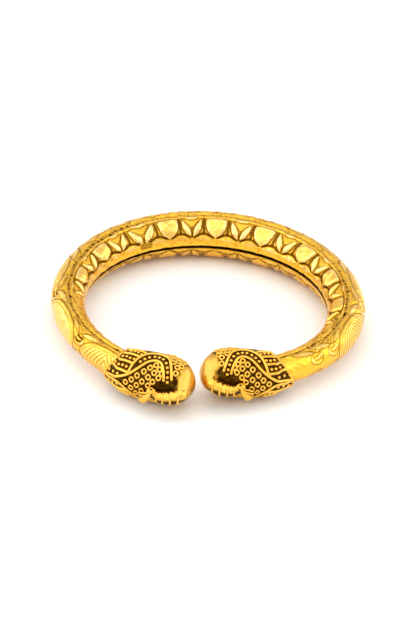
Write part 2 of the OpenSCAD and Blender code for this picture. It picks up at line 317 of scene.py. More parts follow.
def to_line(x, y, line):
    """Distance to an open line, and how far along it the nearest place is."""
    far, length, run = np.full(x.shape, 1e9), np.zeros(x.shape), 0.0
    for (ax, ay), (bx, by) in zip(line[:-1], line[1:]):
        dx, dy = bx - ax, by - ay
        long = math.hypot(dx, dy) or 1e-9
        t = np.clip(((x - ax) * dx + (y - ay) * dy) / long ** 2, 0, 1)
        d = np.hypot(x - ax - t * dx, y - ay - t * dy)
        length = np.where(d < far, run + t * long, length)
        far = np.minimum(far, d)
        run += long
    return far, length

def inside(x, y, outline):
    """Depth inside a closed outline, below zero outside it."""
    closed = np.concatenate([outline, outline[:1]])
    far, _ = to_line(x, y, closed)
    within = np.zeros(x.shape, bool)
    for (ax, ay), (bx, by) in zip(closed[:-1], closed[1:]):
        if ay != by:
            crossed = x < ax + (y - ay) * (bx - ax) / (by - ay)
            within ^= ((ay > y) != (by > y)) & crossed
    return np.where(within, far, -far)

def step(low, high, x):
    """From 0 below low to 1 above high, with a soft turn at both."""
    t = np.clip((x - low) / (high - low), 0, 1)
    return t * t * (3 - 2 * t)

def blurred(grid, n):
    for axis in (0, 1):
        grid = sum(np.roll(grid, k, axis) for k in range(-n, n + 1)) / (2 * n + 1)
    return grid

print("a smooth line of", len(smooth_line([(0, 0), (1, 1), (2, 0)])), "points")

# %% The sheet and its tools
class Sheet:
    """Places on the tube, how far each is raised, its oxide and painted shade, and how pale it is
    painted.
    """

    def __init__(self, a, v):
        self.a, self.v = a, v
        self.fold = np.abs((v + 180) % 360 - 180)
        self.lift, self.dark, self.pale = (np.zeros(a.shape) for k in range(3))
        slip = np.interp(a, [10, 40, 70, 160, 180], [0, 1.5, 4, 4, 3])
        self.slip = slip * step(70, 95, self.fold)

    def near(self, a, reach, v, low, high):
        """The places near an angle, their two distances from it, and mm in a degree."""
        at = np.nonzero((np.abs(self.a - a) < reach) & (self.fold >= low) & (self.fold <= high))
        ka = (middle_r(a) + tube_r(a) * math.cos(rad(v))) * math.pi / 180
        kv = tube_r(a) * math.pi / 180
        x, y = (self.a[at] - a) * ka, (self.fold - self.slip)[at] * kv
        return at, x, y, np.array([ka, kv])

    def form(self, at, depth, lift, edge, crown, ring, pale):
        """A raised form with a round edge, a line of painted shade round it and a top painted
        pale, partly wear and partly painted highlight.
        """
        h = lift * np.sqrt(1 - (1 - np.clip(depth / edge, 0, 1)) ** 2)
        h = h + crown * np.clip(depth / 2, 0, 1)
        self.lift[at] = np.where(depth > 0, np.maximum(self.lift[at], h), self.lift[at])
        clean = self.dark[at] * (1 - np.clip(depth / 0.15, 0, 1))
        # The outline gets a line of painted shade, as strong as ring.
        line = np.clip(1 - np.abs(depth + 0.06) / 0.2, 0, 1)
        self.dark[at] = np.maximum(clean, ring * line)
        # The top is painted pale, most at the rim: partly wear, partly painted highlight.
        rub_and_highlight = pale[0] + (pale[1] - pale[0]) * np.clip(depth / 0.9, 0, 1)
        self.pale[at] = np.maximum(self.pale[at], rub_and_highlight * np.clip(depth / 0.1, 0, 1))

    def cut(self, at, distance, depth, width, stain_and_shade):
        """A line that is pressed in and keeps oxide."""
        g = np.exp(-(distance / width) ** 2)
        self.lift[at] -= depth * g
        self.dark[at] = np.maximum(self.dark[at], stain_and_shade * g)

    def beads(self, at, distance, length, pitch, radius, height, clean):
        """Round grains along a line, wiped clean on top."""
        across = np.abs((length / pitch) % 1 - 0.5) * pitch
        ball = np.sqrt(np.clip(1 - (across ** 2 + distance ** 2) / radius ** 2, 0, 1))
        self.lift[at] += height * ball
        self.dark[at] *= 1 - clean * ball

    def stroke(self, near, points, depth, width, stain_and_shade, beads=None):
        """A cut along points in mm and degrees, with beads in it if they are given."""
        at, x, y, scale = near
        far, length = to_line(x, y, np.asarray(points) * scale)
        self.cut(at, far, depth, width, stain_and_shade)
        if beads:
            self.beads(at, far, length, *beads)

print("tools", [name for name in vars(Sheet) if not name.startswith("_")])

# %% The grid of places
ALONG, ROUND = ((1040, 216))
# Degrees from the seam and the row that lies there: wide rows on the plain wrist
# face beside the seam, close ones on the chased shoulders.
ROWS_AT = np.array([(0, 0), (21, 7), (27, 11), (81, 52), (275, 165), (333, 205), (339, 209),
                    (360, 216)], float)
share = np.interp(np.linspace(0, 216, ROUND), ROWS_AT[:, 1], ROWS_AT[:, 0] / 360)

def section(a):
    half = np.degrees(SEAM_GAP / 2 / tube_r(a))
    return seam(a) - 360 + half + share * (360 - 2 * half)

def end_of_sheet(side):
    v = section(np.full(ROUND, float(from_front(side, JOINT))))
    return end_angle(side, v, 0.0, -JOINT_GAP / 2)

right_end, left_end = end_of_sheet(1), end_of_sheet(-1)
a_grid = right_end + (left_end - right_end) * np.linspace(0, 1, ALONG)[:, None]
sheet = Sheet(a_grid, section(a_grid))
hand = np.random.default_rng(7)
print("the sheet has", sheet.a.size, "places, from %.0f to %.0f degrees"
      % (sheet.a.min(), sheet.a.max()))

# %% [markdown]
# ## The arcade on the wrist side
# Along each inner shoulder runs a row of cells: a plain round-bottomed lobe,
# then a lobe cut into two leaves, turn about. Between the cells stand dark
# pillars set with dots, whose feet spread over a low swag. A bright line closes
# the row above, and the plain wrist face closes it below in shallow scallops.
# Each cell is drawn once, and a steady hand's small errors move its copies.

# %% Arcade ground
PITCH, CELL_0, WIDE, WIDER = 11.25, 87, 3, 5.3  # degrees; cell 3 is the wide one

def cell_at(k):
    c = CELL_0 + PITCH * k + WIDER * (0.5 * (k == WIDE) + (k > WIDE))
    return c + float(np.interp(c, [0, 40, 60, 90, 140, 180], [0, 0.3, 1.3, 2, 2, 1.6]))

def is_leaf(k):
    return (k if k > WIDE else k + 1) % 2 == 0

cells = {k: cell_at(k) for k in range(-9, 9)}
between = {k: (cells[k] + cells[k + 1]) / 2 for k in range(-9, 8)}
knots = sorted([(c, 0.0) for c in cells.values()] + [(c, 1.0) for c in between.values()])
edge_of_cell = np.interp(sheet.a, *zip(*knots))
up = sheet.fold - sheet.slip
scallop = 158 - 7.0 * np.sin(edge_of_cell * math.pi / 2)
row_starts = step(cells[-9] - 7, cells[-9] + 3, sheet.a)
row_ends = row_starts * (1 - step(cells[8] - 5, cells[8] + 5, sheet.a))
ground = step(98.5, 100.5, up) * (1 - step(-1.6, 0.2, up - scallop)) * row_ends
outside = 1 - step(68, 96, sheet.fold)
back_only = step(25, 60, sheet.a) * (1 - step(190, 215, sheet.a))
below = (sheet.v < 0) * step(95, 110, sheet.fold)
sheet.lift += 0.1 + (0.2 + 0.15 * back_only) * outside - 0.15 * below - 0.26 * ground
sheet.dark = np.maximum(sheet.dark, 0.22 * ground)

strip = np.nonzero(np.abs(sheet.fold - 96.5) < 9)
far = np.abs(up[strip] - 97) * 0.09
sheet.lift[strip] += 0.16 * np.exp(-(far / 0.17) ** 2)
sheet.dark[strip] *= 1 - np.exp(-(far / 0.2) ** 2)
print("cells at", [round(c, 1) for c in cells.values()])

# %% Arcade cells
LOBE = smooth_line([(-4.5, 104), (-4.7, 114), (-4.6, 127), (-4.1, 138), (-3.0, 147),
                    (-1.4, 153.5), (0, 156.5), (1.4, 153.5), (3.0, 147), (4.1, 138),
                    (4.6, 127), (4.7, 114), (4.5, 104), (2.2, 101), (-2.2, 101)], True, 4)
LEAF = smooth_line([(4.3, 105.5), (4.7, 116), (4.5, 128), (4.0, 138), (2.9, 147), (1.4, 153),
                    (0.45, 155.5), (0.5, 145), (0.9, 134), (1.9, 123.5), (3.3, 112.5)], True, 4)
BUD = smooth_line([(-3.0, 98.5), (0, 104.5), (3.0, 98.5), (0, 97.5)], True, 4)
VEE = np.array([(-3.2, 103), (3.2, 103), (0.0, 127)])
VEE_SIDE = smooth_line([(3.9, 105), (2.3, 116), (0.9, 126), (0, 131)])
STALK = np.array([(0, 129), (0, 147)])
DOT_X, DOT_Y = 0.5, 0.44  # the dotting punch's spacing in mm
FINE_BEADS = (0.46, 0.16, 0.1, 0.6)

for k, c in cells.items():
    at, x, y, scale = sheet.near(c + hand.normal(0, 0.12), 9.5, 125, 94, 166)
    size = scale * (1.36 if k == WIDE else 1.0, 1)
    if is_leaf(k):
        depth = inside(x, y, VEE * size)
        dots = np.hypot((x / DOT_X + np.floor(y / DOT_Y) * 0.5 + 0.5) % 1 - 0.5,
                        (y / DOT_Y) % 1 - 0.5)
        dotted = np.clip(1 - (dots / 0.42) ** 2, 0, 1) ** 0.5 * (depth > 0.05)
        sheet.lift[at] += 0.14 * dotted
        sheet.dark[at] *= 1 - 0.75 * dotted
        for flip in (-1, 1):
            sheet.form(at, inside(x, y, LEAF * size * (flip, 1)), 0.4, 0.7, 0.08, 0.9, (0.8, 0.4))
            sheet.stroke((at, x, y, size), VEE_SIDE * (flip, 1), 0.1, 0.22, 1.0, FINE_BEADS)
        sheet.stroke((at, x, y, size), STALK, 0.1, 0.22, 1.05, FINE_BEADS)
        sheet.form(at, inside(x, y, BUD * size), 0.28, 0.3, 0, 0.5, (0.8, 0.6))
    else:
        sheet.form(at, inside(x, y, LOBE * size), 0.38, 0.75, 0.12, 0.85, (0.8, 0.25))
print("cells raised", len(cells))

# %% Dotted pillars
HALF = PITCH / 2
SWAG = smooth_line([(-0.9 * HALF, 159), (-0.45 * HALF, 156.5), (0, 154), (0.45 * HALF, 156.5),
                    (0.9 * HALF, 159), (0.4 * HALF, 163), (0, 164.5), (-0.4 * HALF, 163)], True, 4)
FOOT = smooth_line([(0, 145), (0.32 * HALF, 148), (0.6 * HALF, 152), (0.83 * HALF, 155.5)])
PILLAR = [(0, 104), (0, 146)]
ASIDE = 0.8  # the wide cell pushes its two pillars away by this much

for k, c in between.items():
    c = c + ASIDE * ((k == WIDE) - (k + 1 == WIDE))
    at, x, y, scale = near = sheet.near(c, 9, 125, 98, 170)
    # The swags are painted pale, most at the two sides and least at the back: painted highlight.
    painted_swag_highlight = float(np.interp(c, [35, 60, 75, 110, 128], [0.8, 0.7, 0.25, 0.25, 0.8]))
    sheet.form(at, inside(x, y, SWAG * scale), 0.1, 0.5, 0, 0.1, (painted_swag_highlight, painted_swag_highlight * 0.6))
    sheet.stroke(near, PILLAR, 0.14, 0.4, 1.4, (0.52, 0.2, 0.14, 0.55))
    for flip in (-1, 1):
        sheet.stroke(near, FOOT * (flip, 1), 0.13, 0.34, 1.4, (0.5, 0.17, 0.1, 0.5))
near = sheet.near(cells[WIDE] - ASIDE, 9, 125, 98, 175)
for v in (161.5, 168.5):
    sheet.stroke(near, [(-2.8, v), (2.8, v)], 0.14, 0.26, 1.1, (0.5, 0.16, 0.12, 0.6))
print("pillars dotted", len(between))

# %% The lower arcade is shallower
lower = step(95, 103, sheet.fold) * (sheet.v < 0)
sheet.lift *= 1 - 0.62 * lower
sheet.dark *= 1 - 0.4 * lower
sheet.pale *= 1 - 0.6 * lower
print("places on the lower arcade", int((lower > 0.5).sum()))

# %% [markdown]
# ## The punched groove and the outer side
# Above the arcade a groove is set with rough punches. Outside it domed
# cartouches follow each other, smooth and hatched in turn, with curled leaves
# between them, and close to the caps the inner shoulder is filled with short
# strokes. The same drawing serves the upper and the lower half.

# %% Punched groove
GROOVE_AT, PUNCH_PITCH = 89.5, 1.25
along_mm = (sheet.a - 90) * middle_r(sheet.a) * math.pi / 180
groove = np.exp(-((sheet.fold - GROOVE_AT) / 6) ** 2)
wander = np.sin(along_mm * 0.9) + 0.6 * np.sin(along_mm * 2.3 + 1)
worn = np.clip((np.abs(sheet.a - 72) - 35) / 25, 0.35, 1)
sheet.lift -= 0.14 * groove
sheet.dark = np.maximum(sheet.dark, 0.55 * groove * worn)
phase = (along_mm + 0.35 * wander) / PUNCH_PITCH
dash = np.abs(phase % 1 - 0.5) * PUNCH_PITCH
which = np.floor(phase)
heavy = (0.6 + 0.4 * np.sin(which * 12.9898) * np.sin(which * 4.1)) * worn
off_line = (sheet.fold - GROOVE_AT - 2.5 * np.sin(which * 7.1)) / 5.2
punch = np.exp(-(dash / 0.46) ** 4 - off_line ** 2)
sheet.lift -= 0.2 * punch * heavy
sheet.dark = np.maximum(sheet.dark, np.clip(punch * (0.2 + 1.5 * heavy), 0, 1.5))
print("groove set with about", int(np.ptp(along_mm) / PUNCH_PITCH), "punch marks")

# %% Cartouches
PANEL_AT, PANEL_PITCH = 77, 31.25
HATCH_PITCH = 0.9
PANEL = smooth_line([(13.0, 0), (12.6, 20), (10.6, 42), (7.2, 60), (0, 69), (-7.2, 60),
                     (-10.6, 42), (-12.6, 20), (-13.0, 0), (-12.6, -20), (-10.6, -42),
                     (-7.2, -60), (0, -69), (7.2, -60), (10.6, -42), (12.6, -20)], True, 3)
panels = range(-3, 6)
for k in panels:
    at, x, y, scale = sheet.near(PANEL_AT + PANEL_PITCH * k, 16, 35, 0, 78)
    depth = inside(x, y, PANEL * scale)
    sheet.form(at, depth, 0.36, 0.9, 0.1, 0.95, (0.1, 0.35))
    sheet.cut(at, depth - 0.75, 0.1, 0.14, 0.55)
    sheet.cut(at, depth + 0.1, 0.04, 0.2, 0.85)
    if k % 2:
        slanted = x * np.where(x > 0, 0.8, -0.8) + y * 0.62
        lines = np.abs((slanted / HATCH_PITCH) % 1 - 0.5)
        hatch = np.exp(-((0.5 - lines) / 0.18) ** 2) * step(0.9, 1.2, depth)
        sheet.lift[at] -= 0.12 * hatch
        sheet.dark[at] = np.maximum(sheet.dark[at], 0.8 * hatch)
print("cartouches", len(panels))

# %% Curled leaves between the cartouches
CURL = smooth_line([(-0.6, 12), (2.2, 18), (3.2, 30), (2.6, 44), (0.6, 52), (-2.2, 50),
                    (-3.2, 40), (-2.6, 26)], True, 4)
TIP = smooth_line([(0.8, 55), (4.6, 56), (8.0, 66), (10.5, 76), (5.5, 75), (2.2, 68)], True, 4)
HOLES = [smooth_line([(-2.0, 30), (-0.6, 25), (0.9, 28), (1.4, 33)]),
         smooth_line([(-1.6, 45), (0.2, 41), (1.5, 42.5)])]
VEINS = [smooth_line([(-0.2, 56), (1.0, 66), (3.6, 78)]),
         smooth_line([(-2.0, 58), (-4.2, 68), (-8.2, 79)])]

curls = (-3.3, *panels)
for k in curls:
    c = PANEL_AT + PANEL_PITCH * (k - 0.5)
    at, x, y, scale = sheet.near(c, 15, 40, 0, 82)
    x = x * (1 if k > 1 else -1)
    sheet.form(at, inside(x, y, CURL * scale), 0.38, 0.5, 0, 0.95, (0.3, 0.7))
    for sign in (-1, 1):
        sheet.form(at, inside(x * sign, y, TIP * scale), 0.3, 0.45, 0, 0.9, (0.3, 0.5))
    for line in HOLES:
        sheet.stroke((at, x, y, scale), line, 0.26, 0.42, 1.1 if c > 0 else 0.7)
    for line in VEINS:
        sheet.stroke((at, x, y, scale), line, 0.14, 0.24, 0.8)
print("curls", len(curls))

# %% Short strokes by the caps
STROKES = 34
for low, high in ((186, 224), (-42, -13)):
    for c, v in zip(hand.uniform(low, high, STROKES), hand.uniform(97, 124, STROKES)):
        near = sheet.near(c, 3, 110, 88, 135)
        stroke = [(-1.1, v - 3), (0, v), (0.9, v + 4)]
        sheet.stroke(near, stroke, 0.1, 0.2, float(hand.uniform(0.3, 0.9)))
print("strokes", 2 * STROKES)

# %% [markdown]
# ## Hammer marks, oxide and painted shade
# Sheet that has been raised with a hammer is never quite flat. Low waves in nine
# directions and a trace of grain cover it, and the outer shoulder at the back
# has shallow flutes. Wherever a place lies below its neighbours it is darkened,
# partly as oxide and partly as painted shade, which is read from the difference
# between the relief and a blurred copy of it.

# %% Hammer marks
round_mm = sheet.v * tube_r(sheet.a) * math.pi / 180
for way, wave in zip(hand.uniform(0, 6.28, 9), hand.uniform(0.9, 3.2, 9)):
    run = along_mm * math.cos(way) + round_mm * math.sin(way)
    sheet.lift += 0.008 * wave * np.sin(run * 6.28 / wave + 9 * way)
flute = np.exp(-((sheet.fold - 68) / 12) ** 2)
flute = flute * step(20, 45, sheet.a) * (1 - step(135, 165, sheet.a))
sheet.lift += 0.07 * flute * np.sin(along_mm * 2.7 + sheet.fold * 0.05)
sheet.lift += hand.normal(0, 0.004, sheet.a.shape)
sheet.lift -= 0.1 * np.exp(-((sheet.fold - 90) / 22) ** 2) * (sheet.v < 0)
print("relief from %.2f to %.2f mm" % (sheet.lift.min(), sheet.lift.max()))

# %% Hollows darkened: oxide and painted shade
hollow_oxide_and_shade = np.clip((blurred(sheet.lift, 3) - sheet.lift) / 0.12, 0, 1)
sheet.dark = np.clip(np.maximum(sheet.dark, 0.9 * hollow_oxide_and_shade), 0, 1.7)
sheet.pale = np.clip(sheet.pale, 0, 1) * np.clip(1 - sheet.dark, 0, 1)
# The pale paint, partly wear and partly painted highlight, is halved on the wrist side at the
# right end.
sheet.pale *= 1 - 0.5 * (1 - step(-5, 25, sheet.a)) * (sheet.fold > 95)
# The share counts painted shade as well as oxide.
print("share of the sheet under oxide %.2f" % (sheet.dark > 0.5).mean())

# %% [markdown]
# ## Rolling the band
# The chased sheet is rolled to an open tube: the grid is wrapped round the
# tube's middle line, its two long edges turn in at the seam, and a plain inner
# wall runs back between them. It is cut into four lengths only so that each
# stays light; the lengths meet without a gap.

# %% Skins and finishes
def skin(name, points, patina):
    """A closed skin over rows of points: rows join into rings, the ends are capped."""
    rows, cols = points.shape[:2]
    points = np.concatenate([points, points[:, :1]], 1)
    patina = np.concatenate([patina, patina[:, :1]], 1)
    bpy.ops.object.select_all(action="DESELECT")
    bpy.ops.mesh.primitive_grid_add(x_subdivisions=cols, y_subdivisions=rows - 1, size=0.1)
    piece = bpy.context.object
    piece.name = piece.data.name = name
    places = ((points + HOOP_AT) / 1000).astype(np.float32)
    piece.data.vertices.foreach_set("co", places.ravel())
    # The layer holds oxide, painted shade and painted highlight.
    patina_and_light_data = piece.data.attributes.new("patina", "FLOAT", "POINT").data
    patina_and_light_data.foreach_set("value", patina.astype(np.float32).ravel())
    while piece.data.uv_layers:
        piece.data.uv_layers.remove(piece.data.uv_layers[0])
    bpy.ops.object.mode_set(mode="EDIT")
    bpy.ops.mesh.select_all(action="SELECT")
    bpy.ops.mesh.remove_doubles(threshold=1e-7)
    for row in (0, rows - 1):
        bpy.ops.mesh.select_all(action="DESELECT")
        bpy.ops.object.mode_set(mode="OBJECT")
        mark = np.zeros(len(piece.data.vertices), bool)
        co = np.empty(len(mark) * 3, np.float32)
        piece.data.vertices.foreach_get("co", co)
        for first in range(0, cols + 1, 60):  # sixty at a time, to spare memory
            gap = np.abs(co.reshape(-1, 1, 3) - places[row, first:first + 60]).max(-1).min(1)
            mark |= gap < 2e-8
        piece.data.vertices.foreach_set("select", mark)
        bpy.ops.object.mode_set(mode="EDIT")
        bpy.ops.mesh.edge_face_add()
    bpy.ops.mesh.select_all(action="SELECT")
    bpy.ops.mesh.normals_make_consistent(inside=False)
    bpy.ops.object.mode_set(mode="OBJECT")
    bpy.ops.object.shade_smooth_by_angle(angle=rad(60))
    return piece

def dress(piece, material, node=None):
    """Give a piece its finish and its body, and hide the solid that it stands for."""
    piece.data.materials.clear()
    piece.data.materials.append(material)
    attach(piece, "root")
    if node:
        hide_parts(node)
    return piece

print("skins are closed at both ends")

# %% Band
# The inner wall seen through the seam is painted black and the seam's two lips dark: painted shade
# in the slit.
INNER_ROWS, WALL_SHADE, LIP_SHADE = 9, 2.0, 1.2
outer = on_tube(sheet.a, sheet.v, sheet.lift)
back = np.linspace(ROUND - 1, 0, INNER_ROWS).astype(int)
inner = on_tube(sheet.a[:, back], sheet.v[:, back], -SHEET)
tube = np.concatenate([outer, inner], 1)
# Dark minus pale: oxide and painted shade above 0, wear and painted highlight below.
stain_and_shade = np.concatenate([sheet.dark - sheet.pale, np.full((ALONG, INNER_ROWS), WALL_SHADE)], 1)
stain_and_shade[:, [0, ROUND - 1]] = LIP_SHADE

middle_line = sheet.a[:, ROUND // 2]
cuts = [int(np.abs(middle_line - c).argmin()) for c in (14.5, 77, 139.5)]
lengths = ("band_right", "band_back_right", "band_back_left", "band_left")
for name, low, high in zip(lengths, [0, *cuts], [*cuts, ALONG - 1]):
    piece = skin(name, tube[low:high + 1], stain_and_shade[low:high + 1])
    dress(piece, chased_gold, "band")
    print(name, len(piece.data.polygons), "faces")

# %% [markdown]
# ## The cast caps
# A cap closes each end: a swelling body with a slanted lip, a folded wing, a
# scaled breast and a smooth dome at the gap, over which a bird's neck bends
# back. Each cap is drawn about its own axis: `s` runs along it towards the gap
# and `v` turns round it. The two are mirror images, set at their own angles.

# %% The caps' surface
MOUTH_R, BODY_R, BELLY, LENGTH, DROP, LIP = 4.0, 5.6, 9, 19, 0.9, 0.6
DROP_FROM = 12  # from here on the axis bends outwards, by DROP at the tip
FIRST, FIRST_SLANT = 1.8, 0.8  # the body proper starts here, past the lip
SEAT, OUTWARD, RAISED = 32.4, 1.95, 0.1  # where an axis starts
TURN, TILT, AHEAD = 8.3, 5, 0.35  # its turn, and what sets left and right apart
AT_LIP = -9  # in a drawing, this s stands for the lip

def body_radius(s):
    back = BODY_R - (BODY_R - MOUTH_R) * (np.clip(BELLY - s, 0, None) / BELLY) ** 2.3
    front = BODY_R * (1 - np.clip((s - BELLY) / (LENGTH - BELLY), 0, 1) ** 3.8) ** 0.58
    return np.where(s < BELLY, back, front)

def axis_out(s):
    return DROP * (np.clip(s - DROP_FROM, 0, None) / (LENGTH - DROP_FROM)) ** 2

def about_axis(s, v, r):
    p = np.broadcast_arrays(s, axis_out(s) + r * np.cos(rad(v)), r * np.sin(rad(v)))
    return np.stack(p, -1)

def first_s(v):
    return FIRST - FIRST_SLANT * np.cos(rad(v))


class Cap:
    """One cap: side 1 is the right one. Its own frame is its axis, out and up."""

    def __init__(self, side):
        self.side, self.name = side, "right" if side > 0 else "left"
        self.shift = -AHEAD * side
        a, t = rad(from_front(side, SEAT)), rad(TURN - TILT * side)
        out = middle_r(from_front(side, SEAT)) + OUTWARD
        self.start = out * np.array([math.cos(a), math.sin(a), 0]) + [0, 0, RAISED]
        self.axes = np.array([[-side * math.cos(t), -math.sin(t), 0],
                              [side * math.sin(t), -math.cos(t), 0], [0, 0, 1]])

    def world(self, p):
        """Places in the cap's own frame, brought to the hoop's."""
        return p @ self.axes + self.start

    def over(self, s, v, r):
        """Places at a distance from the axis, in the cap's own frame."""
        return about_axis(s, v, r) + [self.shift, 0, 0]

    def lip(self, v, h=LIP):
        """The slanted lip, in the cap's own frame, h above the tube."""
        v = np.asarray(v, float)
        a = end_angle(self.side, v, h, JOINT_GAP / 2)
        return (on_tube(a, v, h) - self.start) @ self.axes.T

    def place(self, s, v, h=0.0):
        """Places h above the body, which runs down to the lip before its first s."""
        s, v, h = np.broadcast_arrays(np.asarray(s, float), np.asarray(v, float), h)
        first, lip = first_s(v), self.lip(v)
        on = np.maximum(s, first)
        body = about_axis(on, v, body_radius(on) + h)
        share = np.clip((first - s) / (first - lip[..., 0]), 0, 1)[..., None]
        rim = np.stack([0 * v, np.cos(rad(v)), np.sin(rad(v))], -1) * h[..., None]
        root = about_axis(first, v, body_radius(first))
        loft = root + (lip - root) * share + rim
        return self.world(np.where((s >= first)[..., None], body, loft))

    def normal(self, s, v):
        along_s = self.place(s + 0.02, v) - self.place(s - 0.02, v)
        round_v = self.place(s, np.asarray(v) + 0.2) - self.place(s, np.asarray(v) - 0.2)
        n = unit(np.cross(along_s, round_v))
        outward = self.place(s, v, 0.5) - self.place(s, v)
        return n * np.sign((n * outward).sum(-1, keepdims=True))

    def line(self, points, h):
        """A smooth line drawn on the body, raised by h."""
        p = np.array(points, float)
        lips = p[:, 0] == AT_LIP
        p[lips, 0] = self.lip(p[lips, 1])[:, 0] + 0.3
        p[~lips, 0] += self.shift * step(0, 4, p[~lips, 0])
        p = smooth_line(p, n=8)
        return self.place(p[:, 0], p[:, 1]) + h * self.normal(p[:, 0], p[:, 1])

caps = [Cap(-1), Cap(1)]
print("caps from", [[round(float(c), 1) for c in cap.start] for cap in caps])

# %% [markdown]
# ## The caps' bodies
# Cast work is left dark in its depths. The body under the ornament carries full
# oxide, mottled where a cloth has touched it, and sinks to a hollow between the
# wing's ends and the neck. The dome and the wrist side were rubbed bright, and
# the dome swells to a shoulder where the neck grows out of it.

# %% Places on a cap
BODY_ROWS, BODY_COLS, LIP_ROWS = 190, 220, 22

def body_places(cap):
    """Places all over a body, in rows as far apart as they are on its outline."""
    v = np.linspace(360, 0, BODY_COLS, endpoint=False)[None, :]
    w = np.linspace(0, 1, 4000)
    s = FIRST + (LENGTH - FIRST) * w
    steps = np.hypot(np.diff(s), np.diff(body_radius(s)))
    length = np.concatenate([[0], np.cumsum(steps)])
    w = np.interp(np.linspace(0, length[-1] - 0.05, BODY_ROWS), length, w)[:, None]
    s = first_s(v) + (LENGTH - first_s(v)) * w
    loft = np.linspace(1, 0, LIP_ROWS, endpoint=False)[:, None]
    lip = cap.lip(v)[..., 0]
    s = np.concatenate([first_s(v) + (lip - first_s(v)) * loft, s])
    return s, np.repeat(v, len(s), 0)

print("a body has", (LIP_ROWS + BODY_ROWS) * BODY_COLS, "places")

# %% Cap bodies
DOME_EDGE = [(0, 15.4), (20, 15.3), (45, 15.1), (70, 15.2), (95, 16.4), (115, 16.6)]
SHOULDER = [(15.2, 0), (15.4, 4.9), (16.3, 6.6), (16.9, 6.5), (17.5, 5.9), (18.1, 4.8),
            (18.7, 3.1), (19, 0)]

def mirror_at(s):
    """The angle on which the ornament is mirrored."""
    return np.interp(s, [-1.5, -0.2, 1.2], [-8, 0, 5])

def cap_body(cap):
    s, v = body_places(cap)
    w = np.abs((v - mirror_at(s) + 180) % 360 - 180)
    edge = np.interp(w, *zip(*DOME_EDGE)) + cap.shift
    mottle = 0.25 * np.sin(v * 0.21 + s * 1.3) + 0.2 * np.sin(v * 0.083 - s * 2.1)
    past = s - edge - mottle
    worked = (1 - step(106, 113, w)) * (1 - step(-0.4, 0.7, past))
    hollow = np.exp(-((s - 13.2) / 1.7) ** 4 - ((w - 8) / 27) ** 4)
    u = (v - 1 + 180) % 360 - 180
    shoulder = np.interp(s, *zip(*SHOULDER)) - body_radius(s)
    swell = np.clip(shoulder, 0, None) * np.exp(-(u / 27) ** 2)
    groove = step(-0.1, 0.3, past) * (1 - step(0.5, 2.5, past))
    h = swell - 0.1 * worked - 0.5 * hollow - 0.12 * groove
    patina = np.clip(worked * (0.93 + 0.1 * mottle), 0, 1) - 0.1 * (1 - worked)
    under = cap.world(cap.lip(v[0], 0.08))[None]
    points = np.concatenate([under, cap.place(s, v, h)])
    patina = np.concatenate([np.ones((1, BODY_COLS)), patina])
    piece = skin(cap.name + "_cap", points, patina)
    return dress(piece, antique_gold, cap.name + "_finial")

for cap in caps:
    piece = cap_body(cap)
    print(piece.name, len(piece.data.polygons), "faces")

# %% [markdown]
# ## Wires
# The outlines of wing, stem and stripes stand up like soldered wires. Each is a
# curve laid on the body and given a round section, then turned to a mesh and
# joined with its fellows. Every figure is drawn once and mirrored below.

# %% Rods and joining
def rod(points, radius, closed=False):
    """A round rod through points in mm; radius may be one number or one a point."""
    bpy.ops.object.select_all(action="DESELECT")
    bpy.ops.curve.primitive_bezier_curve_add()
    made = bpy.context.object
    made.location = (0, 0, 0)
    curve = made.data
    curve.splines.clear()
    spline = curve.splines.new("POLY")
    spline.points.add(len(points) - 1)
    co = np.column_stack([(points + HOOP_AT) / 1000, np.ones(len(points))])
    spline.points.foreach_set("co", co.ravel())
    radii = np.broadcast_to(radius, len(points)).astype(float)
    spline.points.foreach_set("radius", radii.ravel())
    spline.use_cyclic_u = closed
    curve.bevel_depth, curve.bevel_resolution, curve.use_fill_caps = 0.001, 3, True
    bpy.ops.object.convert(target="MESH")
    bpy.ops.object.shade_smooth_by_angle(angle=rad(50))
    return made

def joined(name, pieces, material=bright_gold):
    """One piece from several, with its finish and its body."""
    bpy.ops.object.select_all(action="DESELECT")
    for piece in pieces:
        piece.select_set(True)
    bpy.context.view_layer.objects.active = pieces[0]
    if len(pieces) > 1:
        bpy.ops.object.join()
    piece = bpy.context.object
    bpy.ops.object.transform_apply(location=True, rotation=True, scale=True)
    piece.name = piece.data.name = name
    return dress(piece, material)

print("rods are round, with filled ends")

# %% Wires
WIRE_R, RIM_R, WIRE_UP = 0.35, 0.36, 0.1  # a wire's middle lies 0.1 above the body
# Places (s, v), marked on the photograph, worked back through the camera and
# averaged over the two caps. So are the places of the grains and rings below.
OUTER_WING = [(3.7, 32), (4.4, 54), (5.3, 73), (6.7, 88), (8.4, 97), (10.0, 98.5), (11.4, 93),
              (12.3, 84), (13.1, 66), (13.6, 50), (14.0, 34)]
INNER_WING = [(AT_LIP, -9), (-0.9, 1), (1.15, 11.5), (3.6, 26.5), (5.25, 40.5), (6.6, 54.5),
              (7.8, 66.5), (9.3, 73), (10.65, 69), (11.5, 55.5), (12.0, 41.5), (12.3, 28)]
STRIPES = [[(AT_LIP, 35), (0.5, 37), (3.7, 31)], [(AT_LIP, 62), (2.0, 62), (4.4, 55)],
           [(AT_LIP, 90), (3.0, 85), (5.4, 76)], [(AT_LIP, 114), (4.2, 104), (6.6, 92)]]

def mirrored(points):
    return [(s, 2 * (-9 if s == AT_LIP else float(mirror_at(s))) - v) for s, v in points]

for cap in caps:
    wires = []
    for path in [OUTER_WING, INNER_WING, *STRIPES]:
        for drawn in (path, mirrored(path)):
            wires.append(rod(cap.line(drawn, WIRE_UP), WIRE_R))
    rim = cap.lip(np.arange(0, 360, 4.0), LIP + 0.03) + [0.26, 0, 0]
    wires.append(rod(cap.world(rim), RIM_R, closed=True))
    piece = joined(cap.name + "_wires", wires)
    print(piece.name, len(piece.data.polygons), "faces")

